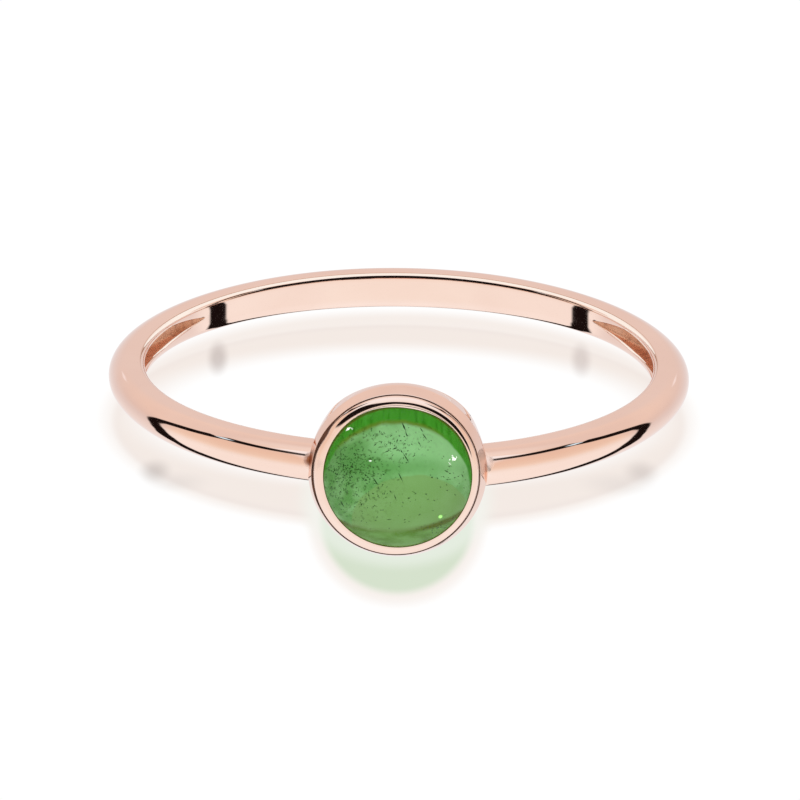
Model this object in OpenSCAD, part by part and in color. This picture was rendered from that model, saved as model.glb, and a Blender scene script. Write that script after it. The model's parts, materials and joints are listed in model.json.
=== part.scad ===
// Ring with a plain domed band and one round cabochon in a smooth bezel cup.
// It lies on a surface as it comes to rest by itself: the underside of the cup
// and the underside of the band's back carry it. Millimetres, +Z up, the stone
// faces -Y, and the origin is under the middle of the ring, on the surface.

/* [Finger hole] */
// Diameter of the finger hole
finger_d = 17.2; // [15:0.1:20]

/* [Band] */
// Height of the band, along the finger
band_h = 1.24; // [1.16:0.02:1.4]
// Thickness of the band next to the cup
band_front_t = 1.25; // [1.2:0.01:1.35]
// Thickness of the band opposite the cup
band_back_t = 1.17; // [1.12:0.01:1.3]
// Radius of the band's soft inner edges
inner_edge_r = 0.18; // [0.16:0.01:0.22]

/* [Hollows inside the band] */
// Angle from the cup at which each hollow starts
hollow_from = 26; // [24:1:40]
// Angle from the cup at which each hollow ends
hollow_to = 128; // [90:1:150]
// Depth of each hollow at its middle
hollow_depth = 0.45; // [0.3:0.01:0.6]
// Half the width of each hollow, and the radius of its floor
hollow_r = 0.28; // [0.2:0.01:0.3]

/* [Bezel cup] */
// Largest diameter of the cup
cup_d = 5.92; // [5.86:0.02:6.2]
// Distance from the finger hole to the widest part of the cup
cup_rise = 0.68; // [0.62:0.02:0.74]
// Radius of the lip that is pressed over the stone
lip_r = 0.5; // [0.46:0.01:0.54]

/* [Cabochon] */
// Diameter of the stone at its girdle
stone_d = 5.0; // [4.9:0.05:5.1]
// Height of the stone's straight side
girdle_h = 0.65; // [0.6:0.01:0.66]
// Height of the dome above the girdle
dome_h = 1.1; // [0.8:0.05:1.4]
// Metal between the finger hole and the stone's seat
seat_floor = 0.45; // [0.41:0.01:0.5]
// Gap between the stone and the metal
gap = 0.02; // [0.01:0.01:0.03]

/* [Hidden] */
$fn = 128;

rose_gold = [0.93, 0.72, 0.62];
stone_green = [0.35, 0.66, 0.38];

finger_r = finger_d / 2;

// The band's outside is a circle whose centre lies a little towards the cup
outer_r = finger_r + (band_front_t + band_back_t) / 2;
band_shift = (band_front_t - band_back_t) / 2;
band_dome_r = band_h / 2;
dome_ring_r = outer_r - band_dome_r;
// The blank starts inside the finger hole, and the hole's flare runs out of the band's flanks
blank_r = finger_r - inner_edge_r;
edge_overrun = 0.02;

// Each hollow is a groove turned about an axis of its own, so it runs out at both ends
hollow_mid = (hollow_from + hollow_to) / 2;
hollow_half = (hollow_to - hollow_from) / 2;
hollow_near = finger_r - hollow_r;
hollow_far = hollow_near + hollow_depth;
hollow_offset = (pow(hollow_far, 2) - pow(hollow_near, 2))
    / (2 * (hollow_far - hollow_near * cos(hollow_half)));
hollow_turn_r = hollow_far - hollow_offset;
hollow_mouth = 2 * hollow_r;

cup_r = cup_d / 2;
cup_reach = finger_r + cup_rise;
stone_r = stone_d / 2;
seat_reach = finger_r + seat_floor;
girdle_reach = seat_reach + girdle_h;
dome_r = (pow(stone_r, 2) + pow(dome_h, 2)) / (2 * dome_h);
dome_reach = girdle_reach + dome_h - dome_r;

// The ring tips until the cup's underside and the back of the band share one level
back_reach = dome_ring_r - band_shift;
tilt = asin((cup_r - band_dome_r) / (cup_reach + back_reach));
lift = cup_r - cup_reach * sin(tilt);
front_y = -dome_reach * cos(tilt) - dome_r;
back_y = back_reach * cos(tilt) + band_dome_r;
mid_y = (front_y + back_y) / 2;

// Lays the ring on the surface, with the origin under its middle
module at_rest() {
    translate([0, -mid_y, lift]) rotate([-tilt, 0, 0]) children();
}

// Turns a shape made along +Z so that it points out of the cup
module out_of_cup() {
    rotate([90, 0, 0]) children();
}

// Ring of metal with a round dome outside, before the finger hole is cut
module band_blank() {
    translate([0, -band_shift, 0]) rotate_extrude() {
        translate([dome_ring_r, 0]) circle(r = band_dome_r);
        translate([blank_r, -band_h / 2]) square([dome_ring_r - blank_r, band_h]);
    }
}

// Cutter for the finger hole: straight, with a flare that softens the band's inner edges
module finger_hole() {
    flare_x = finger_r + inner_edge_r;
    flare_y = band_h / 2 - inner_edge_r + edge_overrun;
    rotate_extrude() difference() {
        translate([0, -cup_d]) square([flare_x, 2 * cup_d]);
        translate([finger_r, -flare_y]) square([2 * inner_edge_r, 2 * flare_y]);
        for (side = [-1, 1]) {
            translate([flare_x, side * flare_y]) circle(r = inner_edge_r);
        }
    }
}

// Round groove on the inside of one side of the band
module hollow(side) {
    translate([side * hollow_offset * sin(hollow_mid), -hollow_offset * cos(hollow_mid), 0])
        rotate_extrude() {
            translate([hollow_turn_r, 0]) circle(r = hollow_r);
            translate([hollow_turn_r - hollow_mouth, -hollow_r]) square([hollow_mouth, 2 * hollow_r]);
        }
}

// Outside of the cup: a wall that bulges like a ball, and a rounded lip
module cup_body() {
    lip_x = cup_r - lip_r;
    out_of_cup() rotate_extrude() {
        intersection() {
            translate([0, cup_reach]) circle(r = cup_r);
            translate([0, finger_r - lip_r]) square([cup_r, cup_rise + lip_r]);
        }
        translate([0, cup_reach]) square([lip_x, lip_r]);
        intersection() {
            translate([lip_x, cup_reach]) circle(r = lip_r);
            translate([lip_x, cup_reach]) square(lip_r);
        }
    }
}

// The stone's own shape, larger all round by grow
module cabochon_shape(grow) {
    out_of_cup() intersection() {
        translate([0, 0, seat_reach - grow]) cylinder(r = stone_r + grow, h = girdle_h + 2 * dome_h);
        translate([0, 0, dome_reach]) sphere(r = dome_r + grow);
    }
}

module band_and_bezel() {
    color(rose_gold) at_rest() difference() {
        union() {
            band_blank();
            cup_body();
        }
        finger_hole();
        hollow(-1);
        hollow(1);
        cabochon_shape(gap);
    }
}

module cabochon() {
    color(stone_green) at_rest() cabochon_shape(0);
}

band_and_bezel();
cabochon();
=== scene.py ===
"""Looks of a slim rose-gold ring with one round green cabochon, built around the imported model."""

import json
import math
import random

import bpy
import numpy as np
from mathutils import Matrix, Vector
from mathutils.bvhtree import BVHTree
from mathutils.interpolate import poly_3d_calc


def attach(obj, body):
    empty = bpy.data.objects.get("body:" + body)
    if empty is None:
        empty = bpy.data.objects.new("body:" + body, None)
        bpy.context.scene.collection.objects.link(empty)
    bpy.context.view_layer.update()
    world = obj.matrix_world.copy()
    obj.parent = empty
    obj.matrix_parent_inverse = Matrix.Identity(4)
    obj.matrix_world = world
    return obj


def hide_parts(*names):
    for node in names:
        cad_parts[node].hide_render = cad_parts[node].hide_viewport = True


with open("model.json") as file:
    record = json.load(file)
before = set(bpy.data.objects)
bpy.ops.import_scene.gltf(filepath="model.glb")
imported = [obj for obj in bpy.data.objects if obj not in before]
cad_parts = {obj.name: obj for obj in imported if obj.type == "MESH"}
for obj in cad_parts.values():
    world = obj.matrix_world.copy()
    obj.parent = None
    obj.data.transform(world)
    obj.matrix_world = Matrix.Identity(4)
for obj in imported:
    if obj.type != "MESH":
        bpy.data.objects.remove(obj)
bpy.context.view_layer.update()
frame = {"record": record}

MM = 0.001

# Ring frame, in millimetres: X to the right, Y away from the stone, Z along the finger, and the
# origin at the middle of the finger hole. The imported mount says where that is.
hole = next(m for m in frame["record"]["mounts"] if m["name"] == "finger_hole")
ring_z = Vector(hole["axis"]).normalized()
ring_x = Vector((1, 0, 0))
ring_y = ring_z.cross(ring_x)
RING_TURN = Matrix((ring_x, ring_y, ring_z)).transposed().to_4x4()
RING = Matrix.Translation(hole["pos_m"]) @ RING_TURN @ Matrix.Scale(MM, 4)

# Sizes of the band, in millimetres
HOLE_R = hole["dims"]["r_mm"]
BAND_FRONT_T = 1.25
BAND_BACK_T = 1.17
# Half of the band's height: its mean, then what one, two and three waves round the ring add
BAND_HALF_H = (0.585, 0.022, 0.050, -0.010)
# The band's two arms meet the cup a little out of line, the left one higher
ARM_OFFSET = 0.070
ARM_TURN = math.radians(12)
BAND_DOME = 0.62
BAND_EDGE_R = 0.18
# Least width of the flat flank between the band's inner edge and its dome
FLANK_LEAST = 0.02
ANGLE_STEPS = 480
# Rows of the band's outline: on each side of the hollow, in it, on an inner edge, a flank, the dome
LIP_STEPS, HOLLOW_STEPS, EDGE_STEPS, FLANK_STEPS, DOME_STEPS = 3, 18, 6, 5, 36

# Inside the cup the band goes on as a thin strip under the stone's seat
STRIP_END = math.radians(16.6)
STRIP_BLEND = math.radians(0.6)
STRIP_T = 0.30

# Hollows on the inside of the band, one on each side, narrower and shallower towards their tips
HOLLOW_FROM = math.radians(26)
HOLLOW_TO = math.radians(129.5)
HOLLOW_HALF_W = 0.31
HOLLOW_DEPTH = 0.42
HOLLOW_TIP_L = 2.6
HOLLOW_W_POWER = 0.75
HOLLOW_DEPTH_POWER = 1.4
# How square the hollow's section is
HOLLOW_SQUARE = 4
HOLLOW_Z = 0.07
HOLLOW_LIP = 0.03
# Outside the hollows their rows go on as a flat trace: its half width and its lip
TRACE_HALF_W = 0.004
TRACE_LIP = 0.002

# The band's sections stand closer where the strip and the hollows end, and the even ones keep away
STRIP_SHARES = np.linspace(-0.1, 1.1, 7)
TIP_INWARD = np.radians([-0.05, 0.05, 0.15, 0.3, 0.5, 0.9])
SECTION_GAP = math.radians(0.25)

# Cup, measured out from its own axis and along it from the ring's middle
CUP_R = 2.95
CUP_REACH = 9.23
# The wall bends from the groove to its widest: radius of each part, and its end slope
WALL_START = 66
WALL_PARTS = [(11.3, 68), (0.257, 90)]
# The cup's filed shoulders: turn (degrees), width of each on both sides, and the share it stands out.
# They rise from the wall's front over this angle (degrees).
SHOULDERS = [(42, 23, 27, 0.050), (133, 20, 17, 0.030)]
SHOULDER_RISE = 25
# The cup sits a little off the band's middle, right and up (mm), and looks up by this much
CUP_SHIFT = (-0.050, -0.065)
CUP_TILT = math.radians(3.2)
# The burnished lip bends from the stone out to a fine groove: radius of each part, and its end slope
LIP_IN = 2.46
LIP_TOP = 9.86
LIP_PARTS = [(0.55, 8), (0.44, 20), (0.185, 68)]
# The lip's edge on the stone is broken by this much, across and along
LIP_EDGE = (0.002, 0.008)
# Radii of the rows on the lip's underside, where it follows the dome
UNDER_LIP = (2.50, 2.48)
# At one place the lip is pressed further over the stone: turn, spread (degrees) and reach
LIP_OVER = (83, 26, 0.066)
# Where the lip's edge is nicked and the groove widens over it: turn, spread (degrees) and size
LIP_NICK = (151, 8, 0.060)
# The groove's circle lies a little to the left of the stone's
GROOVE_SHIFT = -0.044
# The groove round the lip: its width, its width at one side, the way across it, its depth, and the
# wide stretch's middle and spread, and how soon it is fully wide
GROOVE_W = 0.042
GROOVE_WIDE = 0.080
GROOVE_WAY = (0.86, -0.51)
GROOVE_DEPTH = 0.05
GROOVE_SIDE = (math.radians(172), math.radians(42))
GROOVE_EASE = 1.4
CUP_BACK_R = HOLE_R + BAND_EDGE_R
CUP_BACK_EDGE = 0.15
SEAT_REACH = 9.03
SEAT_R = 2.52
SEAT_CORNER = 0.03
CUP_STEPS = 288
# Rows of the cup's outline: on the seat, its side, each bend, the wall, the back's edge and the back
SEAT_ROWS, SIDE_ROWS, BEND_ROWS, WALL_ROWS, CORNER_ROWS, BACK_ROWS = 6, 4, 16, 24, 8, 14
# Rounds in which the place where the wall meets the back settles
SETTLE_ROUNDS = 30

# Stone
STONE_R = 2.50
STONE_BASE = 9.05
GIRDLE_REACH = 9.78
DOME_H = 1.10
DOME_R = (STONE_R ** 2 + DOME_H ** 2) / (2 * DOME_H)
DOME_MIDDLE = GIRDLE_REACH + DOME_H - DOME_R
STONE_GAP = 0.02
STONE_STEPS = 192
# Its lower edge: radius, and where the base and the side leave off
STONE_EDGE_R = 0.05
STONE_EDGE_IN = 0.06
STONE_EDGE_UP = 0.07
# Rows of the stone's outline: on its base, its lower edge, its side and its dome
STONE_ROWS = (8, 5, 5, 64)


def blend(a, b, share):
    """a at share 0 and b at share 1."""
    return a + (b - a) * share


def smooth(x):
    """Smooth step of x from 0 to 1."""
    x = min(max(x, 0.0), 1.0)
    return x * x * (3 - 2 * x)


def arc(centre, radius, start_deg, end_deg, steps):
    """Points of an arc, both ends included, as pairs."""
    angles = np.radians(np.linspace(start_deg, end_deg, steps + 1))
    return [(centre[0] + radius * math.cos(a), centre[1] + radius * math.sin(a)) for a in angles]


def line(start, end, steps):
    """Points of a straight stretch, without its end."""
    shares = [i / steps for i in range(steps)]
    return [(blend(start[0], end[0], s), blend(start[1], end[1], s)) for s in shares]


def linked_object(name, mesh):
    """A new object with a mesh, in the scene."""
    made = bpy.data.objects.new(name, mesh)
    bpy.context.scene.collection.objects.link(made)
    return made


def mesh_object(name, points, faces, indices=None):
    """A shown object with a smooth mesh, from points in the ring frame."""
    mesh = bpy.data.meshes.new(name)
    mesh.from_pydata([RING @ Vector(p) for p in points], [], faces)
    if indices is not None:
        mesh.polygons.foreach_set("material_index", indices)
    mesh.shade_smooth()
    return linked_object(name, mesh)


def half_height(angle):
    """Half of the band's height at an angle from the cup."""
    return sum(size * math.cos(waves * angle) for waves, size in enumerate(BAND_HALF_H))


def arm_height(angle):
    """How far the middle of the band lies above the ring's plane at an angle from the cup."""
    return -ARM_OFFSET * math.tanh(angle / ARM_TURN) * (0.5 + 0.5 * math.cos(angle)) ** 2


def outer_radius(angle):
    """Distance from the ring's middle to the band's outside at an angle from the cup."""
    full = HOLE_R + blend(BAND_BACK_T, BAND_FRONT_T, 0.5 + 0.5 * math.cos(angle))
    return blend(HOLE_R + STRIP_T, full, smooth((abs(angle) - STRIP_END) / STRIP_BLEND))


def hollow_size(angle):
    """Half width and depth of the hollow at an angle from the cup."""
    from_tip = HOLE_R * min(abs(angle) - HOLLOW_FROM, HOLLOW_TO - abs(angle))
    if from_tip <= 0:
        return TRACE_HALF_W, 0.0
    share = min(from_tip / HOLLOW_TIP_L, 1.0)
    return HOLLOW_HALF_W * share ** HOLLOW_W_POWER, HOLLOW_DEPTH * share ** HOLLOW_DEPTH_POWER


def band_section(angle):
    """Closed outline of the band at an angle from the cup, as pairs of radius and height."""
    half = half_height(angle)
    outer = outer_radius(angle)
    width, depth = hollow_size(angle)
    lip = min(HOLLOW_LIP, depth / 2 + TRACE_LIP)
    face = half - BAND_EDGE_R
    dome = min(BAND_DOME, outer - HOLE_R - BAND_EDGE_R - FLANK_LEAST)
    low, high = HOLLOW_Z - width, HOLLOW_Z + width
    rows = line((HOLE_R, -face), (HOLE_R, low - lip), LIP_STEPS)
    for i in range(HOLLOW_STEPS + 1):
        across = -math.cos(math.pi * i / HOLLOW_STEPS)
        shape = (1 - across ** HOLLOW_SQUARE) ** 0.5
        edge = lip * (1 if abs(across) == 1 else 0) * (1 if across > 0 else -1)
        rows.append((HOLE_R + depth * shape, HOLLOW_Z + width * across + edge))
    rows += line((HOLE_R, high + lip), (HOLE_R, face), LIP_STEPS)[1:]
    rows += arc((HOLE_R + BAND_EDGE_R, face), BAND_EDGE_R, 180, 90, EDGE_STEPS)
    rows += line((HOLE_R + BAND_EDGE_R, half), (outer - dome, half), FLANK_STEPS)[1:]
    for a in np.linspace(math.pi / 2, -math.pi / 2, DOME_STEPS + 1):
        rows.append((outer - dome + dome * math.cos(a), half * math.sin(a)))
    rows += line((outer - dome, -half), (HOLE_R + BAND_EDGE_R, -half), FLANK_STEPS)[1:]
    rows += arc((HOLE_R + BAND_EDGE_R, -face), BAND_EDGE_R, 270, 180, EDGE_STEPS)[:-1]
    return rows


def band_angles():
    """Angles of the band's sections, closer together where the strip and the hollows end."""
    even = np.linspace(-math.pi, math.pi, ANGLE_STEPS, endpoint=False)
    close = []
    for side in (-1, 1):
        close += list(side * (STRIP_END + STRIP_BLEND * STRIP_SHARES))
        for tip, inward in ((HOLLOW_FROM, 1), (HOLLOW_TO, -1)):
            close += list(side * (tip + inward * TIP_INWARD))
    kept = [a for a in even if min(abs(a - c) for c in close) > SECTION_GAP]
    return sorted(kept + close)


def make_band():
    """The band all round, with its hollows, as one closed mesh."""
    angles = band_angles()
    rings = [band_section(a) for a in angles]
    count = len(rings[0])
    points = []
    for a, ring in zip(angles, rings):
        points += [(r * math.sin(a), -r * math.cos(a), z + arm_height(a)) for r, z in ring]
    faces, indices = [], []
    for i, a in enumerate(angles):
        j = (i + 1) % len(angles)
        rough = hollow_size(a)[1] > 0 and hollow_size(angles[j])[1] > 0
        for k in range(count):
            m = (k + 1) % count
            faces.append((i * count + k, i * count + m, j * count + m, j * count + k))
            indices.append(1 if rough and LIP_STEPS < k < LIP_STEPS + HOLLOW_STEPS - 1 else 0)
    return mesh_object("band", points, faces, indices)


def cup_place():
    """Takes points measured from the band's middle line to the cup's own place in the ring frame."""
    middle = Vector((0, -CUP_REACH, 0))
    shift = Vector((CUP_SHIFT[0], 0, CUP_SHIFT[1]))
    tilt = Matrix.Rotation(-CUP_TILT, 4, "X")
    return Matrix.Translation(middle + shift) @ tilt @ Matrix.Translation(-middle)


def on_back(x):
    """How far out along the cup's axis its back lies, x beside that axis."""
    return math.sqrt(CUP_BACK_R ** 2 - x ** 2)


def bends(start, angle, parts):
    """Points of a curve that turns through arcs, from a start with a slope; the start left out."""
    rows = [start]
    for radius, end in parts:
        tilt = math.radians(angle)
        middle = (rows[-1][0] - radius * math.sin(tilt), rows[-1][1] - radius * math.cos(tilt))
        rows += arc(middle, radius, 90 - angle, 90 - end, BEND_ROWS)[1:]
        angle = end
    return rows[1:]


def groove_rows(lip_end, turn, nick):
    """The groove from the lip's end to the wall's start: its bottom and its outer edge."""
    middle, reach = GROOVE_SIDE
    away = (turn - middle + math.pi) % (2 * math.pi) - math.pi
    width = blend(GROOVE_W, GROOVE_WIDE, smooth(GROOVE_EASE - GROOVE_EASE * abs(away) / reach))
    end = Vector(lip_end) + Vector(GROOVE_WAY).normalized() * (width + nick)
    down = Vector((GROOVE_WAY[1], -GROOVE_WAY[0])).normalized()
    bottom = (Vector(lip_end) + end) / 2 + down * GROOVE_DEPTH
    return [tuple(bottom), tuple(end)]


def bump(turn, middle, below, above):
    """1 at a turn's middle, falling off on each side over its own spread; all but turn in degrees."""
    away = (math.degrees(turn) - middle + 180) % 360 - 180
    return math.exp(-(away / (below if away < 0 else above)) ** 2)


def wall_radius(turn):
    """Radius of the cup's round wall at a turn about its axis."""
    return CUP_R * (1 + sum(share * bump(turn, *where) for *where, share in SHOULDERS))


def wall_end(turn):
    """Where the cup's wall meets its back: distance from the axis, and along it."""
    along = CUP_BACK_R
    for _ in range(SETTLE_ROUNDS):
        rho = math.sqrt(wall_radius(turn) ** 2 - (CUP_REACH - along) ** 2)
        along = on_back(rho * math.cos(turn))
    return rho, along


def lip_rows(turn):
    """The cup's outline over the stone at a turn: the lip's underside, its top and the groove."""
    over, reach_deg, reach = LIP_OVER
    inner = LIP_IN - reach * bump(turn, over, reach_deg, reach_deg) - LIP_EDGE[0]
    rows = []
    for r in (SEAT_R, *UNDER_LIP, inner):
        rows.append((r, DOME_MIDDLE + math.sqrt((DOME_R + STONE_GAP) ** 2 - r ** 2)))
    rows += [(inner, rows[-1][1] + LIP_EDGE[1]), (LIP_IN, LIP_TOP)]
    nick, nick_deg, size = LIP_NICK
    cut = size * bump(turn, nick, nick_deg, nick_deg)
    shift = GROOVE_SHIFT * math.cos(turn) - cut
    lip = bends((LIP_IN, LIP_TOP), 0, LIP_PARTS)
    rows += [(r + shift * (r - LIP_IN) / (lip[-1][0] - LIP_IN), a) for r, a in lip]
    return rows + groove_rows(rows[-1], turn, cut)


def cup_profile(turn):
    """The cup's outline at a turn about its axis, from the seat's middle to the middle of the back."""
    flat_r = SEAT_R - SEAT_CORNER
    rows = line((0.0, SEAT_REACH), (flat_r, SEAT_REACH), SEAT_ROWS)[1:]
    rows += [(flat_r, SEAT_REACH), (SEAT_R, SEAT_REACH), (SEAT_R, SEAT_REACH + SEAT_CORNER)]
    lip = lip_rows(turn)
    rows += line((SEAT_R, SEAT_REACH + 2 * SEAT_CORNER), lip[0], SIDE_ROWS)
    rows += lip
    wall = bends((0, 0), WALL_START, WALL_PARTS)
    out, fall = wall[-1]
    start = (CUP_R - out, CUP_REACH - fall)
    gap = (rows[-1][0] - start[0], rows[-1][1] - start[1])
    for r, a in wall:
        left = 1 - a / fall
        rows.append((start[0] + r + gap[0] * left, start[1] + a + gap[1] * left))
    corner, along = wall_end(turn)
    radius = wall_radius(turn)
    slope = math.degrees(math.asin((CUP_REACH - along) / radius))
    edge_deg = math.degrees(CUP_BACK_EDGE / radius)
    for i in range(1, WALL_ROWS + 1):
        degrees = (slope - edge_deg) * i / WALL_ROWS
        reach = blend(CUP_R, radius, smooth(degrees / SHOULDER_RISE))
        tilt = math.radians(degrees)
        rows.append((reach * math.cos(tilt), CUP_REACH - reach * math.sin(tilt)))
    back_x = corner - CUP_BACK_EDGE
    ends = (rows[-1], (corner, along), (back_x, on_back(back_x * math.cos(turn))))
    for i in range(1, CORNER_ROWS + 1):
        s = i / CORNER_ROWS
        weights = ((1 - s) ** 2, math.sqrt(0.5) * 2 * s * (1 - s), s ** 2)
        spot = [sum(w * end[n] for w, end in zip(weights, ends)) / sum(weights) for n in (0, 1)]
        rows.append(tuple(spot))
    for i in range(1, BACK_ROWS):
        rho = back_x * (1 - i / BACK_ROWS)
        rows.append((rho, on_back(rho * math.cos(turn))))
    return rows


def round_body(name, outline, steps, reaches, slots, end_slots, flipped):
    """A closed body about the cup's axis, from its outline at even turns and a point at each end."""
    count = len(outline(0))
    points = []
    for t in np.linspace(0, 2 * math.pi, steps, endpoint=False):
        points += [(rho * math.cos(t), -along, rho * math.sin(t)) for rho, along in outline(t)]
    points += [(0, -reach, 0) for reach in reaches]
    faces = []
    for i in range(steps):
        a, b = i * count, (i + 1) % steps * count
        faces += [(a + k, a + k + 1, b + k + 1, b + k) for k in range(count - 1)]
        faces += [(a, b, steps * count), (b + count - 1, a + count - 1, steps * count + 1)]
    if flipped:
        faces = [(face[0], *face[:0:-1]) for face in faces]
    made = mesh_object(name, [cup_place() @ Vector(p) for p in points], faces, (slots + end_slots) * steps)
    return made, points


def make_cup():
    """The bezel cup with its lip, its blind seat and its back, as one closed mesh."""
    slots = [2] * (len(cup_profile(0)) - 1)
    # The groove's two faces begin at the lip's last row
    groove = SEAT_ROWS + SIDE_ROWS + len(lip_rows(0)) - 1
    slots[groove:groove + 2] = [3, 3]
    reaches = (SEAT_REACH, CUP_BACK_R)
    return round_body("cup", cup_profile, CUP_STEPS, reaches, slots, [2, 2], False)[0]


def carry_normals(mesh, sources):
    """Gives each face corner the smooth normal of the shape that its face came from."""
    shapes = {}
    for source, indices in sources:
        data = source.data
        corners = [v.co.copy() for v in data.vertices]
        rounds = [v.normal.copy() for v in data.vertices]
        sides = [tuple(p.vertices) for p in data.polygons]
        shape = (BVHTree.FromPolygons(corners, sides), corners, rounds, sides)
        shapes.update({i: shape for i in indices})
    found = {}
    normals = []
    for polygon in mesh.polygons:
        tree, corners, rounds, sides = shapes[polygon.material_index]
        for vertex in polygon.vertices:
            key = (vertex, id(tree))
            if key not in found:
                place, _, side, _ = tree.find_nearest(mesh.vertices[vertex].co)
                names = sides[side]
                shares = poly_3d_calc([corners[n] for n in names], place)
                found[key] = sum((rounds[n] * s for n, s in zip(names, shares)), Vector()).normalized()
            normals.append(found[key])
    mesh.normals_split_custom_set(normals)


def make_metal():
    """Band and cup as one solid of metal."""
    band = make_band()
    cup = make_cup()
    for n in ("polished", "cast", "cup", "groove"):
        slot = bpy.data.materials.new("index_" + n)
        band.data.materials.append(slot)
        cup.data.materials.append(slot)
    joint = band.modifiers.new("join", "BOOLEAN")
    joint.operation = "UNION"
    joint.solver = "EXACT"
    joint.object = cup
    depsgraph = bpy.context.evaluated_depsgraph_get()
    mesh = bpy.data.meshes.new_from_object(band.evaluated_get(depsgraph))
    made = linked_object("rose_gold_mount", mesh)
    carry_normals(mesh, [(band, (0, 1)), (cup, (2, 3))])
    indices = [(0, 1, 0, 2)[polygon.material_index] for polygon in mesh.polygons]
    for source in (band, cup):
        bpy.data.objects.remove(source)
    mesh.materials.clear()
    for maker in (polished_gold, cast_gold, groove_shade_gold):
        mesh.materials.append(maker())
    mesh.polygons.foreach_set("material_index", indices)
    return made


def stone_profile():
    """The stone's outline, from the edge of its base to near its top, as pairs of radius and reach."""
    base, edge, side, dome = STONE_ROWS
    top_deg = math.degrees(math.asin(STONE_R / DOME_R))
    edge_middle = (STONE_R - STONE_EDGE_R, STONE_BASE + STONE_EDGE_R)
    rows = line((0.0, STONE_BASE), (STONE_R - STONE_EDGE_IN, STONE_BASE), base)[1:]
    rows += arc(edge_middle, STONE_EDGE_R, -90, 0, edge)
    rows += line((STONE_R, STONE_BASE + STONE_EDGE_UP), (STONE_R, GIRDLE_REACH), side)
    rows += arc((0, DOME_MIDDLE), DOME_R, 90 - top_deg, 90, dome)[:-1]
    return rows


def make_stone():
    """The domed stone as one closed mesh."""
    profile = stone_profile()
    slots = [0 if along >= GIRDLE_REACH - 0.001 else 1 for _, along in profile[:-1]]
    reaches = (STONE_BASE, GIRDLE_REACH + DOME_H)
    made, points = round_body(
        "green_cabochon", lambda turn: profile, STONE_STEPS, reaches, slots, [1, 0], True)
    places = [value for x, y, z in points for value in (x, z, -y)]
    made.data.attributes.new("place", "FLOAT_VECTOR", "POINT").data.foreach_set("vector", places)
    return made


def new_material(name):
    """An empty node material and its nodes."""
    made = bpy.data.materials.new(name)
    made.use_nodes = True
    made.node_tree.nodes.clear()
    return made, made.node_tree


def node(tree, kind, inputs=None, **settings):
    """A new shader node. Its inputs are constants, with colours as three numbers, outputs or nodes."""
    made = tree.nodes.new("ShaderNode" + kind)
    for name, value in settings.items():
        setattr(made, name, value)
    for name, value in (inputs or {}).items():
        socket = made.inputs[name]
        if isinstance(value, bpy.types.Node):
            value = next(output for output in value.outputs if output.enabled)
        if isinstance(value, bpy.types.NodeSocket):
            tree.links.new(value, socket)
        elif socket.type == "RGBA":
            socket.default_value = (*value, 1)
        else:
            socket.default_value = value
    return made


def combined(tree, operation, *values):
    """Numbers joined by a step of arithmetic."""
    return node(tree, "Math", dict(enumerate(values)), operation=operation)


def vector(tree, operation, *values):
    """Vectors joined by a step of arithmetic."""
    return node(tree, "VectorMath", dict(enumerate(values)), operation=operation)


def times(tree, a, b):
    """Two numbers multiplied."""
    return combined(tree, "MULTIPLY", a, b)


def minus(tree, a, b):
    """One number less another."""
    return combined(tree, "SUBTRACT", a, b)


def layer(tree, below, colour, mask):
    """A colour laid over another where the mask is 1."""
    return node(tree, "Mix", {"Factor": mask, "A": below, "B": colour}, data_type="RGBA")


def noise(tree, place, stretch, detail):
    """Noise as a number, stretched along its three directions."""
    scaled = vector(tree, "MULTIPLY", place, stretch)
    return node(tree, "TexNoise", {"Vector": scaled, "Scale": 1.0, "Detail": detail})


def ranged(tree, value, low, high, start=0.35, end=0.65):
    """A number taken from the range between start and end to another."""
    ends = {"From Min": start, "From Max": end, "To Min": low, "To Max": high}
    return node(tree, "MapRange", {"Value": value, **ends})


def fade(tree, value, none, full):
    """0 where a number is at none and 1 where it is at full, with a smooth step between."""
    ends = {"From Min": none, "From Max": full}
    return node(tree, "MapRange", {"Value": value, **ends}, interpolation_type="SMOOTHSTEP")


def oval(tree, place, middle, size, soft):
    """1 inside a flat oval and 0 outside it, over a soft edge."""
    offset = vector(tree, "SUBTRACT", place, (*middle, 0))
    scaled = vector(tree, "MULTIPLY", offset, (1 / size[0], 1 / size[1], 0))
    return fade(tree, vector(tree, "LENGTH", scaled), 1 + soft, 1 - soft)


# Polished gold: its two colours, its noises (stretch per mm), and the ranges they give, which may be
# followed by where in the noise the range starts and ends
GOLD_LIGHT = (0.925, 0.695, 0.595)
GOLD_WORN = (0.905, 0.67, 0.57)
WEAR_GRAIN = (0.5, 0.5, 0.9)
POLISH_GRAIN = (3, 3, 3)
POLISH_ROUGH = (0.03, 0.06)
REFLECTION_GRAIN = (6, 6, 2.5)
REFLECTION_BLOTCH = (0.45, 1, 0.40, 0.55)
# Softer polish at the soldered joints, and a painted dark brown reflection at the left one: place (mm,
# ring frame), and how far from it (mm) each is full and ends
JOINT = ((2.75, -9.45, 0.36), 0.36, 0.50)
JOINT_ROUGH = 0.34
LEFT_JOINT_REFLECTION = ((-2.93, -9.42, 0.38), 0.12, 0.34)
REFLECTION_BROWN = (0.36, 0.12, 0.05)
# Casting skin of the hollows: colours, noises, roughness and relief (its depth in mm)
CAST_LIGHT = (0.86, 0.46, 0.29)
CAST_DARK = (0.68, 0.29, 0.15)
CAST_HATCH = (0.30, 0.10, 0.05)
CAST_HATCH_SHARE = 0.35
CAST_GRAIN = (0.7, 0.7, 1.6)
CAST_BLOTCH = (0, 1, 0.35, 0.70)
HATCH_GRAIN = (1.0, 5.0, 2.5)
HATCH_LINES = (0, 1, 0.54, 0.68)
CAST_METAL = 0.7
CAST_ROUGH = (0.35, 0.55)
CAST_RELIEF = (0.15, 0.02)
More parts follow.
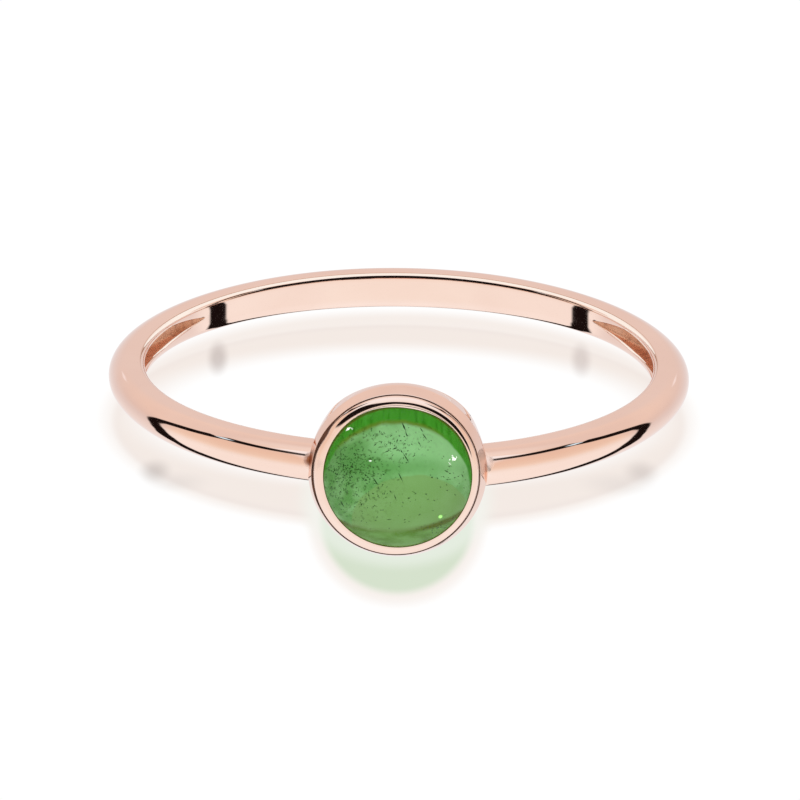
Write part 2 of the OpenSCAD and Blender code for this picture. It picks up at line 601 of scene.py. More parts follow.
# Bottom of the fine groove round the lip, painted dark brown and black as shade in the crease
GROOVE_SHADE_BROWN = (0.150, 0.055, 0.028)
GROOVE_SHADE_BLACK = (0.050, 0.018, 0.009)
GROOVE_SHADE_GRAIN = (2, 2, 2)
GROOVE_METAL = 0.5
GROOVE_ROUGH = 0.5


def grain(tree, stretch, detail=3.0):
    """Noise in the metal's own space as a number, stretched along its three directions (per mm)."""
    where = node(tree, "TexCoord").outputs["Object"]
    return noise(tree, where, [n / MM for n in stretch], detail)


def near(tree, place, full, end, both_sides=False):
    """1 close to a place (mm, ring frame) and 0 further off, there alone or on both sides of the ring."""
    where = node(tree, "TexCoord").outputs["Object"]
    parts = node(tree, "SeparateXYZ", {"Vector": where}).outputs
    aside = combined(tree, "ABSOLUTE", parts["X"]) if both_sides else parts["X"]
    at = node(tree, "CombineXYZ", {"X": aside, "Y": parts["Y"], "Z": parts["Z"]})
    return fade(tree, vector(tree, "DISTANCE", at, RING @ Vector(place)), end * MM, full * MM)


def principled(tree, inputs):
    """Gives a material its surface."""
    node(tree, "OutputMaterial", {"Surface": node(tree, "BsdfPrincipled", inputs)})


def dull(tree, colour, roughness, glow):
    """Gives a material a surface with no shine, and a glow that stands for light caught in the stone."""
    principled(tree, {
        "Base Color": colour,
        "Roughness": roughness,
        "Specular IOR Level": 0.0,
        "Emission Color": colour,
        "Emission Strength": glow,
    })


def polished_gold():
    """Bright polish with faint clouds of wear in it, less keen at the soldered joints."""
    made, tree = new_material("polished_rose_gold")
    colour = layer(tree, GOLD_LIGHT, GOLD_WORN, ranged(tree, grain(tree, WEAR_GRAIN), 0, 1))
    # Painted reflection: a blotchy brown mark at the left joint
    blotchy = ranged(tree, grain(tree, REFLECTION_GRAIN), *REFLECTION_BLOTCH)
    colour = layer(tree, colour, REFLECTION_BROWN, times(tree, near(tree, *LEFT_JOINT_REFLECTION), blotchy))
    polish = ranged(tree, grain(tree, POLISH_GRAIN), *POLISH_ROUGH)
    joint = times(tree, near(tree, *JOINT, both_sides=True), JOINT_ROUGH)
    rough = combined(tree, "ADD", polish, joint)
    principled(tree, {"Base Color": colour, "Metallic": 1.0, "Roughness": rough})
    return made


def cast_gold():
    """Unpolished casting skin of the hollows, with fine hatching from the tool."""
    made, tree = new_material("cast_rose_gold")
    blotches = ranged(tree, grain(tree, CAST_GRAIN, 1.0), *CAST_BLOTCH)
    hatch = ranged(tree, grain(tree, HATCH_GRAIN, 1.0), *HATCH_LINES)
    colour = layer(tree, CAST_LIGHT, CAST_DARK, blotches)
    colour = layer(tree, colour, CAST_HATCH, times(tree, hatch, CAST_HATCH_SHARE))
    strength, depth = CAST_RELIEF
    relief = node(tree, "Bump", {"Strength": strength, "Distance": depth * MM, "Height": hatch})
    principled(tree, {
        "Base Color": colour,
        "Metallic": CAST_METAL,
        "Roughness": ranged(tree, blotches, *CAST_ROUGH, 0, 1),
        "Normal": relief,
    })
    return made


def groove_shade_gold():
    """Dull bottom of the fine groove round the lip, painted dark for the shade in it."""
    made, tree = new_material("groove_rose_gold")
    # Painted shade: brown and black mixed along the groove
    colour = layer(tree, GROOVE_SHADE_BROWN, GROOVE_SHADE_BLACK, ranged(tree, grain(tree, GROOVE_SHADE_GRAIN), 0, 1))
    principled(tree, {"Base Color": colour, "Metallic": GROOVE_METAL, "Roughness": GROOVE_ROUGH})
    return made


# Body of the stone: what it lets through, and the light it soaks up (per metre)
STONE_IOR = 1.63
STONE_SHINE = (0.08, 0.08, 0.08)
SOAK_COLOUR = (0.55, 0.86, 0.58)
SOAK_DENSITY = 300
# Thin shadow where the lip presses on the stone: its colour, strength, and the clear oval inside it
BORDER = (0.10, 0.020, 0.008)
BORDER_SHARE = 0.6
BORDER_OVAL = ((0, -0.030), (2.425, 2.385), 0.008)
# Colours of the stone's base, as shares of the light that it gives back
DEEP_GREEN = (0.075, 0.32, 0.028)
DEEP_LIGHT = (0.120, 0.42, 0.070)
DEEP_STREAK = (0.040, 0.19, 0.010)
# Haze with a painted reflection of the studio's light in it: its dark, light and lighter top colours
HAZE_AND_SHEEN_DARK = (0.155, 0.34, 0.10)
HAZE_AND_SHEEN_LIGHT = (0.33, 0.53, 0.26)
HAZE_AND_SHEEN_TOP = (0.385, 0.63, 0.335)
SHADE = (0.10, 0.28, 0.06)
OLIVE_EDGE = (0.18, 0.24, 0.03)
OLIVE = (0.27, 0.40, 0.155)
LOW_GREEN = (0.22, 0.39, 0.11)
LOW_DARK = (0.13, 0.26, 0.03)
SEAM = (0.13, 0.15, 0.015)
DUST = (0.04, 0.09, 0.015)
# Painted glint: a bright spot of light caught in the stone, laid on its base
GLINT = (0.9, 1.6, 0.5)
BASE_ROUGH = 0.9
BASE_GLOW = 0.45
# The base's shapes waver by this much (mm), with noise of this scale (per mm)
WAVER = 0.16
WAVER_SCALE = 1.6
# Noises on the base: stretch across and up (per mm), where each starts and is full, and its detail
BASE_CLOUDS = {
    "streaks": ((9, 1.2), 0.50, 0.74, 4.0),
    "light_streaks": ((5, 0.8), 0.55, 0.80, 4.0),
    "haze": ((1.7, 1.7), 0.40, 0.62, 4.0),
    "low": ((1.5, 3.0), 0.42, 0.60, 4.0),
    "dust": ((9, 9), 0.55, 0.70, 2.0),
}
# Ovals on the base: middle and half sizes (mm), and how soft their edges are
BASE_OVALS = {
    "haze": ((-0.03, -0.66), (2.12, 2.10), 0.02),
    "haze_top": ((0.75, 0.75), (1.6, 1.0), 0.7),
    "rim_outside": ((-0.03, -0.66), (2.19, 2.17), 0.03),
    "rim_inside": ((-0.03, -0.66), (2.07, 2.05), 0.03),
    "rim_top": ((-0.5, 1.4), (1.7, 0.9), 0.4),
    "olive": ((0.45, -1.50), (1.70, 1.42), 0.02),
    "above_low": ((-0.35, 1.4), (4.6, 3.05), 0.014),
    "seam_outside": ((-0.35, 1.4), (4.70, 3.12), 0.025),
    "seam_inside": ((-0.35, 1.4), (4.50, 2.98), 0.025),
    "seam_middle": ((-0.35, -1.6), (1.0, 0.6), 0.5),
    "dust_left": ((-1.25, 0.0), (1.1, 1.3), 0.6),
    "dust_top": ((0.1, 0.8), (1.0, 0.6), 0.6),
    "glint": ((1.17, -1.25), (0.05, 0.045), 0.5),
}
# How strong each of them shows
BASE_SHARES = {
    "haze_top": 0.8, "rim": 0.85, "olive": 0.85, "low": 0.9, "seam_middle": 0.30, "dust_top": 0.35,
    "dust": 0.75}
# Painted shade in the haze and its reflection: middle, half sizes (mm) and strength, and how soft they are
SHADES = [
    ((-1.32, 0.36), (0.60, 0.46), 0.75),
    ((-0.10, 0.16), (1.35, 0.24), 0.55),
    ((-0.60, -0.30), (0.50, 0.30), 0.35),
    ((-1.70, -0.55), (0.40, 0.55), 0.12),
]
SHADE_SOFT = 0.85


def green_stone():
    """Clear green body of the stone, polished outside."""
    made, tree = new_material("green_tourmaline")
    clear = node(tree, "BsdfPrincipled", {
        "Base Color": (1, 1, 1),
        "Roughness": 0.0,
        "IOR": STONE_IOR,
        "Specular Tint": STONE_SHINE,
        "Transmission Weight": 1.0,
    })
    place = node(tree, "Attribute", attribute_name="place").outputs["Vector"]
    border = times(tree, minus(tree, 1.0, oval(tree, place, *BORDER_OVAL)), BORDER_SHARE)
    dark = node(tree, "BsdfDiffuse", {"Color": BORDER})
    mix = node(tree, "MixShader", {"Fac": border, 1: clear, 2: dark})
    soak = node(tree, "VolumeAbsorption", {"Color": SOAK_COLOUR, "Density": SOAK_DENSITY})
    node(tree, "OutputMaterial", {"Surface": mix, "Volume": soak})
    return made


def stone_ground():
    """The stone's unpolished base, seen through it: haze and a painted reflection in an oval, deep green
    above it.
    """
    made, tree = new_material("tourmaline_ground")
    flat = node(tree, "Attribute", attribute_name="place").outputs["Vector"]
    wave = node(tree, "TexNoise", {"Vector": flat, "Scale": WAVER_SCALE, "Detail": 3.0}).outputs["Color"]
    back = vector(tree, "SUBTRACT", flat, (WAVER / 2, WAVER / 2, 0))
    wavy = vector(tree, "MULTIPLY_ADD", wave, (WAVER, WAVER, 0), back)

    def cloudy(name):
        """One of the noises on the base, from 0 to 1."""
        across, start, full, detail = BASE_CLOUDS[name]
        return ranged(tree, noise(tree, flat, (*across, 1), detail), 0, 1, start, full)

    def inside(name, place=wavy):
        """1 inside one of the ovals on the base."""
        return oval(tree, place, *BASE_OVALS[name])

    def partly(mask, name):
        """A mask at its strength on the base."""
        return times(tree, mask, BASE_SHARES[name])

    deep = layer(tree, DEEP_GREEN, DEEP_STREAK, cloudy("streaks"))
    deep = layer(tree, deep, DEEP_LIGHT, cloudy("light_streaks"))
    # Painted reflection: the haze oval, lighter at its top, stands for the studio's light seen in the dome
    haze = layer(tree, HAZE_AND_SHEEN_DARK, HAZE_AND_SHEEN_LIGHT, cloudy("haze"))
    haze = layer(tree, haze, HAZE_AND_SHEEN_TOP, partly(inside("haze_top"), "haze_top"))
    for middle, size, strength in SHADES:
        haze = layer(tree, haze, SHADE, times(tree, oval(tree, wavy, middle, size, SHADE_SOFT), strength))
    body = layer(tree, deep, haze, inside("haze"))
    rim = minus(tree, inside("rim_outside"), inside("rim_inside"))
    body = layer(tree, body, OLIVE_EDGE, partly(times(tree, rim, inside("rim_top")), "rim"))
    body = layer(tree, body, OLIVE, partly(inside("olive"), "olive"))
    low = layer(tree, LOW_GREEN, LOW_DARK, cloudy("low"))
    body = layer(tree, body, low, partly(minus(tree, 1.0, inside("above_low")), "low"))
    seam = minus(tree, inside("seam_outside"), inside("seam_inside"))
    ends = minus(tree, 1.0, inside("seam_middle", flat))
    strength = combined(tree, "ADD", ends, BASE_SHARES["seam_middle"])
    body = layer(tree, body, SEAM, times(tree, seam, strength))
    dust = partly(cloudy("dust"), "dust")
    top = partly(inside("dust_top", flat), "dust_top")
    dusty = combined(tree, "ADD", inside("dust_left", flat), top)
    body = layer(tree, body, DUST, times(tree, dust, dusty))
    # Painted glint on the base
    body = layer(tree, body, GLINT, inside("glint", flat))
    dull(tree, body, BASE_ROUGH, BASE_GLOW)
    return made


# Needles seen one by one, on the stone's base: place (mm), length (mm), lean (degrees), width (mm)
NEEDLES = [
    (0.16, 1.35, 0.34, -68, 0.050),
    (0.23, 1.12, 0.22, -75, 0.034),
    (0.66, 1.26, 0.18, -60, 0.034),
    (0.74, 1.06, 0.26, -58, 0.034),
    (0.58, 0.86, 0.14, -60, 0.030),
    (-0.02, 0.92, 0.14, 75, 0.034),
    (-0.08, 0.70, 0.16, 20, 0.040),
    (-0.28, 0.62, 0.20, 25, 0.030),
    (0.10, 0.62, 0.12, -60, 0.034),
    (0.22, 0.44, 0.34, -60, 0.034),
    (0.08, -0.10, 0.30, -65, 0.030),
    (-0.58, -0.22, 0.28, -55, 0.034),
    (-0.92, -0.16, 0.16, -50, 0.030),
    (-1.54, -0.92, 0.26, -60, 0.040),
    (-0.06, -0.64, 0.20, -70, 0.028),
    (0.30, -0.66, 0.08, 10, 0.036),
    (1.34, 0.06, 0.16, -30, 0.034),
    (1.84, -0.08, 0.14, -60, 0.030),
    (0.92, -0.10, 0.07, 0, 0.046),
    (1.36, -0.48, 0.06, 0, 0.036),
    (0.76, -0.56, 0.07, 0, 0.040),
    (-0.22, -1.28, 0.16, 5, 0.020),
]
NEEDLE_UP = 0.10
# Directions of a needle's three sides about it (radians)
NEEDLE_SIDES = (0, 2.1, 4.2)
# Clouds of fine specks: middle, spread (mm), how many, and their lean (degrees)
CLOUDS = [
    (-1.30, 0.35, 0.30, 0.28, 130, 40),
    (-1.62, -0.35, 0.24, 0.42, 130, 60),
    (-0.85, 0.05, 0.40, 0.22, 60, -40),
    (-0.45, 1.05, 0.40, 0.22, 40, 70),
    (0.05, 0.75, 0.22, 0.24, 26, 50),
    (0.65, 0.95, 0.30, 0.25, 18, -60),
    (-0.95, -0.75, 0.40, 0.35, 55, 60),
    (0.20, -0.80, 0.80, 0.40, 40, 0),
    (1.45, 0.00, 0.25, 0.25, 25, -40),
    (1.25, -1.62, 0.30, 0.10, 40, 60),
]
# Specks: how far from the middle they reach, ranges of their height, length and width (mm), the
# spread of their lean (degrees) and how much they dip (radians)
SPECK_REACH = 2.2
SPECK_UP = (0.06, 0.45)
SPECK_L = (0.025, 0.095)
SPECK_W = (0.014, 0.034)
SPECK_LEAN = 40
SPECK_DIP = 0.4
INCLUSION_BROWN = (0.020, 0.055, 0.010)
INCLUSION_ROUGH = 0.6
# Bright flecks, glowing as painted highlights: middle and spread (mm), how many, size (mm), lean (degrees)
FLECKS_AND_HIGHLIGHTS = [
    (-0.90, 0.76, 0.0, 1, 0.115, 0),
    (1.81, 0.71, 0.050, 12, 0.085, 40),
    (1.70, 0.60, 0.040, 4, 0.050, 60),
    (-1.63, 1.63, 0.0, 1, 0.20, 35),
    (-1.54, 1.67, 0.02, 2, 0.06, 40),
]
# Their depth under the dome (mm), length and width (shares of size), and spread of lean (degrees)
FLECK_DEEP = 0.035
FLECK_L = (0.8, 1.2)
FLECK_W = 0.55
FLECK_LEAN = 25
# Painted highlights: the flecks' white and their glow
FLECK_HIGHLIGHT_WHITE = (0.95, 0.97, 0.90)
FLECK_ROUGH = 0.5
FLECK_HIGHLIGHT_GLOW = 0.9


def needle(middle, length, width, turn, dip):
    """Points and faces of one fine closed spindle in the stone, measured on the cup's axis."""
    way = Vector((math.cos(turn) * math.cos(dip), math.sin(dip), math.sin(turn) * math.cos(dip)))
    side = way.orthogonal().normalized()
    other = way.cross(side)
    tips = [middle - way * length / 2, middle + way * length / 2]
    waist = [middle + (side * math.cos(a) + other * math.sin(a)) * width / 2 for a in NEEDLE_SIDES]
    return tips + waist, [(0, 3, 2), (0, 4, 3), (0, 2, 4), (1, 2, 3), (1, 3, 4), (1, 4, 2)]


def make_inclusions(name, items):
    """One object of many spindles inside the stone."""
    points, faces = [], []
    for item in items:
        spindle, sides = needle(*item)
        faces += [tuple(len(points) + i for i in side) for side in sides]
        points += spindle
    return mesh_object(name, [cup_place() @ p for p in points], faces)


def dark_inclusions():
    """The stone's needles and specks: those seen one by one, then clouds of fine ones."""
    random.seed(11)
    items = []
    for across, up, length, degrees, width in NEEDLES:
        spot = Vector((across, -STONE_BASE - NEEDLE_UP, up))
        items.append((spot, length, width, math.radians(degrees), 0.0))
    for across, up, wide, high, count, lean in CLOUDS:
        for _ in range(count):
            u = random.gauss(across, wide)
            v = random.gauss(up, high)
            if u * u + v * v < SPECK_REACH ** 2:
                spot = Vector((u, -STONE_BASE - random.uniform(*SPECK_UP), v))
                length = random.uniform(*SPECK_L)
                turn = math.radians(lean + random.gauss(0, SPECK_LEAN))
                width = random.uniform(*SPECK_W)
                items.append((spot, length, width, turn, random.uniform(-SPECK_DIP, SPECK_DIP)))
    return make_inclusions("stone_inclusions", items)


def light_flecks():
    """The few bright flecks close under the dome, which glow as painted highlights."""
    random.seed(5)
    items = []
    for across, up, wide, count, size, lean in FLECKS_AND_HIGHLIGHTS:
        for _ in range(count):
            u = random.gauss(across, wide)
            v = random.gauss(up, wide)
            along = DOME_MIDDLE + math.sqrt((DOME_R - FLECK_DEEP) ** 2 - u * u - v * v)
            turn = math.radians(lean + random.gauss(0, FLECK_LEAN if count > 1 else 0))
            length = size * random.uniform(*FLECK_L)
            items.append((Vector((u, -along, v)), length, size * FLECK_W, turn, 0.0))
    return make_inclusions("stone_flecks", items)


def speck_material(name, colour, roughness, glow=0.0):
    """Dull stuff inside the stone."""
    made, tree = new_material(name)
    dull(tree, colour, roughness, glow)
    return made


metal = make_metal()
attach(metal, "root")
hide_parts("band_and_bezel")

stone = make_stone()
stone.data.materials.append(green_stone())
stone.data.materials.append(stone_ground())
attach(stone, "root")
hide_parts("cabochon")

inclusions = dark_inclusions()
inclusions.data.materials.append(speck_material("dark_inclusions", INCLUSION_BROWN, INCLUSION_ROUGH))
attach(inclusions, "root")

# Bright flecks under the dome, glowing as painted highlights
highlight_flecks = light_flecks()
highlight_flecks.data.materials.append(speck_material("light_flecks", FLECK_HIGHLIGHT_WHITE, FLECK_ROUGH, FLECK_HIGHLIGHT_GLOW))
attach(highlight_flecks, "root")

# Camera: a long lens looks down on the ring's plane by this angle, with a little roll and turn, from
# this far off (mm)
VIEW_DOWN = math.radians(19.81)
VIEW_ROLL = math.radians(0.55)
VIEW_SIDE = math.radians(0.25)
VIEW_DISTANCE = 350
# Pixels to the millimetre at the ring's middle, and in the whole picture's width
SCALE_PX = 29.57
IMAGE_PX = 800
# How far the ring's middle lies above and to the left of the picture's (mm)
RING_UP = 0.855
RING_LEFT = 0.046
camera_data = bpy.data.cameras.new("camera")
camera_data.sensor_width = 36
camera_data.lens = SCALE_PX * VIEW_DISTANCE / IMAGE_PX * camera_data.sensor_width
camera_data.clip_start = 0.01
camera_data.clip_end = 20
camera = linked_object("camera", camera_data)
look = Matrix.Rotation(-VIEW_SIDE, 3, "Z") @ Matrix.Rotation(math.pi / 2 - VIEW_DOWN, 3, "X")
sideways, upward, backward = look.transposed()
camera_place = RING @ (sideways * RING_LEFT - upward * RING_UP + backward * VIEW_DISTANCE)
camera_turn = RING_TURN @ (look @ Matrix.Rotation(VIEW_ROLL, 3, "Z")).to_4x4()
camera.matrix_world = Matrix.Translation(camera_place) @ camera_turn
bpy.context.scene.camera = camera

# Half size of the floor (m) and its white
FLOOR_HALF = 2
FLOOR_GLOW = (1.02, 1.02, 1.02)
# Faint blurred picture of the ring in the polished table, as ovals: what they tint, their middle and
# half sizes in the picture (px), how soft they are, how strong, and their colour
GHOST = {
    "band": ((399, 421), (292, 109), 0.06, 0.85, (0.91, 0.83, 0.78)),
    "line": ((399, 424), (285, 99), 0.02, 0.35, (0.80, 0.70, 0.66)),
    "low_band": ((399, 423), (281, 95), 0.03, 0.85, (0.91, 0.83, 0.78)),
    "hole": ((399, 417), (256, 69), 0.14, 1.0, (1.02, 1.02, 1.02)),
    "left_tip": ((155, 471), (11, 8), 0.9, 0.50, (0.45, 0.40, 0.38)),
    "left_fold": ((176, 482), (22, 7), 0.9, 0.25, (0.60, 0.55, 0.53)),
    "right_tip": ((641, 472), (12, 8), 0.9, 0.42, (0.50, 0.44, 0.42)),
    "right_fold": ((618, 484), (26, 8), 0.9, 0.25, (0.60, 0.55, 0.53)),
    "left_stripe": ((218, 358), (8, 13), 0.7, 0.55, (0.45, 0.38, 0.36)),
    "right_stripe": ((581, 360), (8, 13), 0.7, 0.45, (0.50, 0.42, 0.40)),
    "lip": ((397, 520), (88, 85), 0.10, 0.9, (0.93, 0.87, 0.83)),
    "stone": ((397, 520), (76, 73), 0.07, 1.0, (0.67, 0.76, 0.61)),
    "fade": ((397, 500), (95, 66), 0.12, 0.55, (0.88, 0.92, 0.86)),
}


def floor_place(right, down):
    """Where on the floor (mm) a place of the picture (px) lies."""
    reach = SCALE_PX * VIEW_DISTANCE
    half = IMAGE_PX / 2
    way = camera_turn.to_3x3() @ Vector(((right - half) / reach, (half - down) / reach, -1))
    return (camera_place - way * camera_place.z / way.z) / MM


def ghost(tree):
    """Colour of the floor with the blurred picture of the ring in it."""
    where = node(tree, "NewGeometry").outputs["Position"]
    spot = node(tree, "VectorMath", {0: where, "Scale": 1 / MM}, operation="SCALE")
    colour = FLOOR_GLOW
    for (right, down), (wide, high), soft, strength, tint in GHOST.values():
        middle, side = floor_place(right, down), floor_place(right + wide, down)
        low, far = floor_place(right, down + high), floor_place(right, down - high)
        size = (side.x - middle.x, (far.y - low.y) / 2)
        mask = oval(tree, spot, (middle.x, (far.y + low.y) / 2), size, soft)
        colour = layer(tree, colour, tint, times(tree, mask, strength))
    return colour


# Floor: it shows its own white to the camera, and the ring mirrors the studio through it
floor_mesh = bpy.data.meshes.new("floor")
corners = [(x * FLOOR_HALF, y * FLOOR_HALF, 0) for x, y in ((-1, -1), (1, -1), (1, 1), (-1, 1))]
floor_mesh.from_pydata(corners, [], [(0, 1, 2, 3)])
floor = linked_object("floor", floor_mesh)
floor_material, tree = new_material("white_floor")
node(tree, "OutputMaterial", {"Surface": node(tree, "Emission", {"Color": ghost(tree)})})
floor_mesh.materials.append(floor_material)
floor.visible_glossy = False
floor.visible_transmission = False
floor.visible_diffuse = False
floor.visible_shadow = False

# Light of the studio's black cloth, its small gap and the lamps behind
CLOTH_BLACK = (0.010, 0.006, 0.006)
GLINT_LIGHT = (0.85, 1.25, 1.55)
LAMP_LIGHT = (1.05, 1.05, 1.10)
# Far cards stand this far off, about the ring's middle height (mm)
FAR = 120
RING_MIDDLE = 3
# The tent's gap for the lens: degrees to the right and up from the front, and its width in degrees
LENS_GAP = [
    (27, 11, 9),
    (24, 11, 15),
    (18, 9.5, 20),
    (8, 8, 16),
    (0, 7.5, 12),
    (-8, 11, 12),
    (-16, 17, 15),
    (-26, 22, 17),
    (-34, 23, 13),
]
# Hoops over the band's back, seen in its inner edge alone: black collar, light roof and brown line.
# Each has two places across it (radius and height in mm), its run to each side (degrees) and its light
COLLAR = (((6.0, 1.75), (6.0, 7.5)), 82, CLOTH_BLACK)
ROOF = (((7.25, 3.0), (10.5, 3.0)), 50, (1.08, 1.25, 1.30))
ROOF_LINE = (((10.5, 3.0), (11.3, 3.0)), 50, (0.40, 0.24, 0.16))
# Steps along a hoop, and how soon it is fully there from its ends
HOOP_STEPS = 60
HOOP_RISE = 4
# Edges of the light tent, as the ring mirrors them: place (mm), width (mm), cover
FLAG_SIDE = [
    (43, 13, -45, 9.5, 1),
    (43, 11.5, -38, 10.0, 1),
    (43, 9.0, -28, 9.6, 1),
    (43, 5.6, -18, 7.6, 1),
    (43, 5.4, -6, 6.0, 1),
    (43, 8.4, 4, 5.0, 1),
    (43, 8.6, 12, 5.0, 1),
    (43, 7.2, 18, 6.6, 1),
    (43, 5.2, 25, 9.0, 1),
    (43, 2.8, 32, 10.5, 1),
    (42, 1.8, 38, 11.5, 1),
]
FLAG_FRONT = [
    (42, 4, 40, 10.5, 0.9),
    (40, -2, 40, 10.0, 1),
    (37, -8, 40, 9.0, 1),
    (32, -15, 39, 8.0, 1),
    (26, -21, 38.5, 7.2, 0.95),
    (19, -27, 38, 6.4, 0.9),
    (16, -29, 38, 6.4, 0),
]
FLAG_UNDER = [
    (43, 12, -44, 10.0, 1),
    (37, 13, -45, 12.0, 1),
    (28, 15, -45, 13.0, 1),
    (20, 18, -45, 13.0, 1),
    (9, 26, -45, 12.0, 1),
    (0, 28, -45, 10.0, 0.9),
]
# Small bright gap in the front flag
GLINT_CARD = [
    (41.0, 4.0, 38.8, 1.6, 0),
    (40.8, 1.8, 38.7, 3.0, 1),
    (40.4, -1.4, 38.6, 3.0, 1),
    (39.8, -4.0, 38.5, 1.6, 0),
]
# Soft lamps low behind, mirrored once at each end of the ring: degrees right and up, width (degrees)
# and cover
BACK_LAMP = [(158.2, 10.5, 3.0, 0), (158.7, 12, 3.0, 0.8), (159, 13, 3.0, 0.8), (159.4, 14.5, 3.0, 0)]
# Width of the soft edges of the far cards, the flags and the glints (mm)
FAR_SOFT = 4.0
FLAG_SOFT = 1.2
GLINT_SOFT = 1.0


def card_material(name, colour, one_sided=False):
    """Cloth or lamp of the studio that fades out at its edges, and may show one side alone."""
    made, tree = new_material(name)
    cover = node(tree, "Attribute", attribute_name="cover").outputs["Fac"]
    if one_sided:
        hidden = node(tree, "NewGeometry").outputs["Backfacing"]
        cover = times(tree, cover, minus(tree, 1.0, hidden))
    light = node(tree, "Emission", {"Color": colour})
    mix = node(tree, "MixShader", {"Fac": cover, 1: node(tree, "BsdfTransparent"), 2: light})
    node(tree, "OutputMaterial", {"Surface": mix})
    return made


def make_card(name, points, faces, covers, material):
    """A card of the studio that shows in mirrors alone, from its mesh (m) and its cover at each point."""
    mesh = bpy.data.meshes.new(name)
    mesh.from_pydata(points, [], faces)
    mesh.attributes.new("cover", "FLOAT", "POINT").data.foreach_set("value", covers)
    mesh.materials.append(material)
    card = linked_object(name, mesh)
    card.visible_camera = False
    card.visible_diffuse = False
    card.visible_transmission = False
    card.visible_shadow = False


def far_row(azimuth, height, width, cover=1.0):
    """Row of a card far off: degrees to the right and up from the front, its width in degrees, cover."""
    a, h = math.radians(azimuth), math.radians(height)
    out = FAR * math.cos(h)
    place = (out * math.sin(a), -out * math.cos(a), FAR * math.sin(h) + RING_MIDDLE)
    return (*place, FAR * math.radians(width), cover)


def flag(name, rows, soft, material):
    """A ribbon round the ring: rows of place (mm), width (mm) and cover, with soft edges."""
    points, covers, faces = [], [], []
    places = [Vector(row[:3]) for row in rows]
    middle = Vector((0, 0, RING_MIDDLE))
    for i, row in enumerate(rows):
        along = (places[min(i + 1, len(rows) - 1)] - places[max(i - 1, 0)]).normalized()
        side = along.cross(middle - places[i]).normalized()
        half = row[3] / 2
        for offset, share in ((-half - soft, 0), (-half, 1), (half, 1), (half + soft, 0)):
            points.append((places[i] + side * offset) * MM)
            covers.append(row[4] * share)
    for i in range(len(rows) - 1):
        for k in range(3):
            a = i * 4 + k
            faces.append((a, a + 1, a + 5, a + 4))
    make_card(name, points, faces, covers, material)


def hoop(name, across, end, colour, where):
    """A card bent round the hole that shows its outer or lower side alone, in mirrors."""
    points, covers = [], []
    for i in range(HOOP_STEPS + 1):
        a = math.radians(blend(-end, end, i / HOOP_STEPS))
        for r, z in across:
            points.append(where @ Vector((r * math.sin(a), r * math.cos(a), z)))
            covers.append(smooth(HOOP_RISE * (1 - abs(2 * i / HOOP_STEPS - 1))))
    faces = [(2 * i, 2 * i + 1, 2 * i + 3, 2 * i + 2) for i in range(HOOP_STEPS)]
    make_card(name, points, faces, covers, card_material(name, colour, one_sided=True))


hoop("flag_collar", *COLLAR, Matrix.Scale(MM, 4))
hoop("roof", *ROOF, RING)
hoop("roof_line", *ROOF_LINE, RING)
cloth = card_material("black_flag", CLOTH_BLACK)
glint = card_material("glint_card", GLINT_LIGHT)
lamp = card_material("back_lamp", LAMP_LIGHT)
flag("flag_lens", [far_row(*row) for row in LENS_GAP], FAR_SOFT, cloth)
for side, name in ((1, "right"), (-1, "left")):
    for part, rows in (("side", FLAG_SIDE), ("front", FLAG_FRONT), ("under", FLAG_UNDER)):
        flag(f"flag_{part}_{name}", [(side * r[0], *r[1:]) for r in rows], FLAG_SOFT, cloth)
    flag("glint_" + name, [(side * r[0], *r[1:]) for r in GLINT_CARD], GLINT_SOFT, glint)
    flag("back_lamp_" + name, [far_row(side * r[0], *r[1:]) for r in BACK_LAMP], FAR_SOFT, lamp)


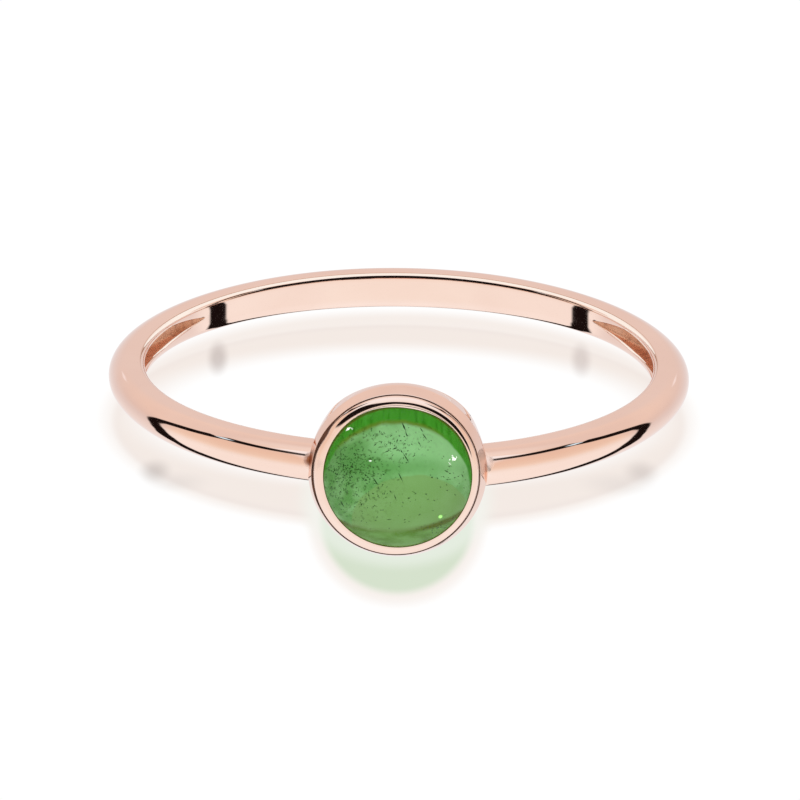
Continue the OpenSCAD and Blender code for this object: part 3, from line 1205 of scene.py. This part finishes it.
# Light from the front half and from behind the flags, by elevation in degrees
LIGHT_FRONT = [
    (-90, (1.04, 1.07, 1.09)), (-20, (1.04, 1.07, 1.09)), (-8, (1.00, 1.00, 0.99)), (2, (0.98, 0.89, 0.81)),
    (12, (0.93, 0.80, 0.70)), (30, (0.91, 0.74, 0.63)), (45, (0.88, 0.72, 0.63)), (90, (0.85, 0.76, 0.72))]
LIGHT_BACK = [
    (-90, (1.0, 1.0, 1.0)), (-45, (0.93, 0.94, 0.97)), (-25, (0.91, 0.90, 0.92)), (-8, (0.84, 0.81, 0.83)),
    (8, (0.84, 0.75, 0.725)), (25, (0.915, 0.80, 0.745)), (50, (0.87, 0.78, 0.75)), (90, (0.85, 0.76, 0.73))]
# Light from round the lens, in front alone
LIGHT_LENS = [
    (-90, (1.04, 1.07, 1.09)), (-25, (1.05, 1.12, 1.16)), (-8, (1.02, 1.02, 1.00)), (5, (0.99, 0.91, 0.84)),
    (16, (1.00, 1.00, 0.98)), (30, (1.04, 1.10, 1.16)), (75, (1.04, 1.15, 1.25)), (90, (1.04, 1.20, 1.32))]
# How far back (of 1) the light from behind starts and is full, and how far aside the lens's ends
BACK_FADE = (0.10, 0.30)
LENS_FADE = (0.60, 0.45)


def light_ramp(tree, height, stops):
    """Colour of the studio's light by how far up the way there points, 0 straight down and 1 up."""
    ramp = node(tree, "ValToRGB", {"Fac": height})
    elements = ramp.color_ramp.elements
    elements[0].position = 0
    elements[1].position = 1
    for i, (elevation, colour) in enumerate(stops):
        place = 0.5 + 0.5 * math.sin(math.radians(elevation))
        stop = elements[0] if i == 0 else elements.new(place)
        stop.position = place
        stop.color = (*colour, 1)
    elements.remove(elements[len(stops)])
    return ramp


world = bpy.data.worlds.new("studio")
world.use_nodes = True
tree = world.node_tree
parts = node(tree, "SeparateXYZ", {"Vector": node(tree, "TexCoord").outputs["Generated"]}).outputs
height = node(tree, "MapRange", {"Value": parts["Z"], "From Min": -1})
behind = fade(tree, parts["Y"], *BACK_FADE)
light = layer(tree, light_ramp(tree, height, LIGHT_FRONT), light_ramp(tree, height, LIGHT_BACK), behind)
near_lens = fade(tree, combined(tree, "ABSOLUTE", parts["X"]), *LENS_FADE)
share = times(tree, near_lens, combined(tree, "LESS_THAN", parts["Y"], 0.0))
light = layer(tree, light, light_ramp(tree, height, LIGHT_LENS), share)
tree.links.new(light.outputs["Result"], tree.nodes["Background"].inputs["Color"])
bpy.context.scene.world = world
bpy.context.scene.view_settings.view_transform = "Standard"
